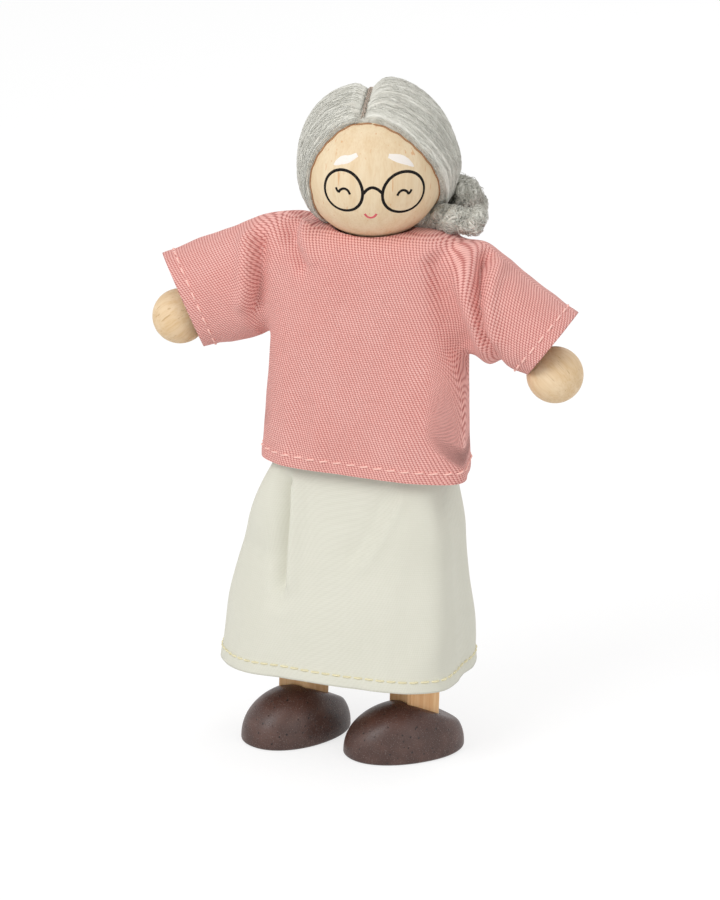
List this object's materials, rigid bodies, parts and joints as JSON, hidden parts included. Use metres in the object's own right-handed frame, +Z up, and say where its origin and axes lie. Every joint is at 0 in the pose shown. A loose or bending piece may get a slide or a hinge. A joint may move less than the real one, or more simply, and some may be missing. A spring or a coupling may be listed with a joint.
{
  "type": "bendable doll",
  "caption": "Standing wooden dollhouse doll with pinned joints, yarn hair in a low bun, a sewn short-sleeved top and a flared skirt.",
  "frame": {"origin": "on the ground, under the middle of the whole doll's box", "axes": "+Z up through the head, -Y is the way the doll faces, +X is the doll's own left"},
  "size_m": [0.086, 0.0348, 0.1299],
  "materials": {
    "head_wood": "sanded pale wood, thin matt varnish",
    "pale_wood": "bare sanded wood",
    "hand_wood": "sanded turned wood",
    "leg_wood": "sawn and sanded wood",
    "shoe_paint": "wood under dark brown satin paint with open pores",
    "grey_yarn": "soft brushed grey wool yarn",
    "brown_thread": "matt sewing thread",
    "pink_cotton": "woven cotton, dusty pink",
    "cream_cotton": "woven cotton, cream",
    "white_elastic": "flat woven elastic",
    "pin_steel": "plain steel wire"
  },
  "bodies": {
    "torso": {"torso_block": "pale_wood", "neck_peg": "pale_wood", "hip_pin_right": "pin_steel", "hip_pin_left": "pin_steel", "shirt_body": "pink_cotton", "sleeve_right": "pink_cotton", "sleeve_left": "pink_cotton", "waist_elastic": "white_elastic", "skirt": "cream_cotton"},
    "head": {"head_ball": "head_wood", "hair_cap": "grey_yarn", "hair_bun": "grey_yarn", "parting_stitch": "brown_thread"},
    "shoulder_right": {"shoulder_knuckle_right": "pale_wood", "shoulder_pin_right": "pin_steel"},
    "arm_right": {"upper_arm_right": "hand_wood", "elbow_pin_right": "pin_steel"},
    "hand_right": {"forearm_hand_right": "hand_wood"},
    "shoulder_left": {"shoulder_knuckle_left": "pale_wood", "shoulder_pin_left": "pin_steel"},
    "arm_left": {"upper_arm_left": "hand_wood", "elbow_pin_left": "pin_steel"},
    "hand_left": {"forearm_hand_left": "hand_wood"},
    "hip_right": {"hip_knuckle_right": "pale_wood"},
    "thigh_right": {"thigh_dowel_right": "pale_wood", "thigh_right": "leg_wood", "knee_pin_right": "pin_steel"},
    "foot_right": {"shin_right": "leg_wood", "shoe_right": "shoe_paint"},
    "hip_left": {"hip_knuckle_left": "pale_wood"},
    "thigh_left": {"thigh_dowel_left": "pale_wood", "thigh_left": "leg_wood", "knee_pin_left": "pin_steel"},
    "foot_left": {"shin_left": "leg_wood", "shoe_left": "shoe_paint"}
  },
  "joints": [
    {"name": "neck_turn", "type": "hinge", "parent": "torso", "child": "head", "pos_m": [0.00091, -0.001, 0.1], "axis": [0, 0, 1], "range_deg": [-60, 80]},
    {"name": "shoulder_swing_right", "type": "hinge", "parent": "torso", "child": "shoulder_right", "pos_m": [-0.01599, -0.001, 0.0948], "axis": [-1, 0, 0], "range_deg": [-60, 150], "deforming": ["sleeve_right", "shirt_body"]},
    {"name": "shoulder_raise_right", "type": "hinge", "parent": "shoulder_right", "child": "arm_right", "pos_m": [-0.01599, -0.001, 0.0948], "axis": [0, 1, 0], "range_deg": [-30, 60], "deforming": ["sleeve_right"]},
    {"name": "elbow_bend_right", "type": "hinge", "parent": "arm_right", "child": "hand_right", "pos_m": [-0.02657, -0.001, 0.08777], "axis": [-0.5534, 0, 0.8329], "range_deg": [0, 90], "deforming": ["sleeve_right"]},
    {"name": "shoulder_swing_left", "type": "hinge", "parent": "torso", "child": "shoulder_left", "pos_m": [0.01781, -0.001, 0.0948], "axis": [-1, 0, 0], "range_deg": [-60, 150], "deforming": ["sleeve_left", "shirt_body"]},
    {"name": "shoulder_raise_left", "type": "hinge", "parent": "shoulder_left", "child": "arm_left", "pos_m": [0.01781, -0.001, 0.0948], "axis": [0, -1, 0], "range_deg": [-30, 60], "deforming": ["sleeve_left"]},
    {"name": "elbow_bend_left", "type": "hinge", "parent": "arm_left", "child": "hand_left", "pos_m": [0.02752, -0.001, 0.08662], "axis": [-0.6441, 0, -0.7649], "range_deg": [0, 90], "deforming": ["sleeve_left"]},
    {"name": "hip_bend_right", "type": "hinge", "parent": "torso", "child": "hip_right", "pos_m": [-0.01054, -0.001, 0.051], "axis": [-1, 0, 0], "range_deg": [-25, 90], "deforming": ["skirt"]},
    {"name": "leg_swivel_right", "type": "hinge", "parent": "hip_right", "child": "thigh_right", "pos_m": [-0.01054, -0.001, 0.0405], "axis": [0, 0, 1], "range_deg": [-25, 20]},
    {"name": "knee_bend_right", "type": "hinge", "parent": "thigh_right", "child": "foot_right", "pos_m": [-0.01054, -0.001, 0.03], "axis": [0.9397, -0.342, 0], "range_deg": [0, 90], "deforming": ["skirt"]},
    {"name": "hip_bend_left", "type": "hinge", "parent": "torso", "child": "hip_left", "pos_m": [0.01236, -0.001, 0.051], "axis": [-1, 0, 0], "range_deg": [-25, 90], "deforming": ["skirt"]},
    {"name": "leg_swivel_left", "type": "hinge", "parent": "hip_left", "child": "thigh_left", "pos_m": [0.01236, -0.001, 0.0405], "axis": [0, 0, 1], "range_deg": [-5, 38]},
    {"name": "knee_bend_left", "type": "hinge", "parent": "thigh_left", "child": "foot_left", "pos_m": [0.01236, -0.001, 0.03], "axis": [0.788, -0.6157, 0], "range_deg": [0, 90], "deforming": ["skirt"]}
  ]
}
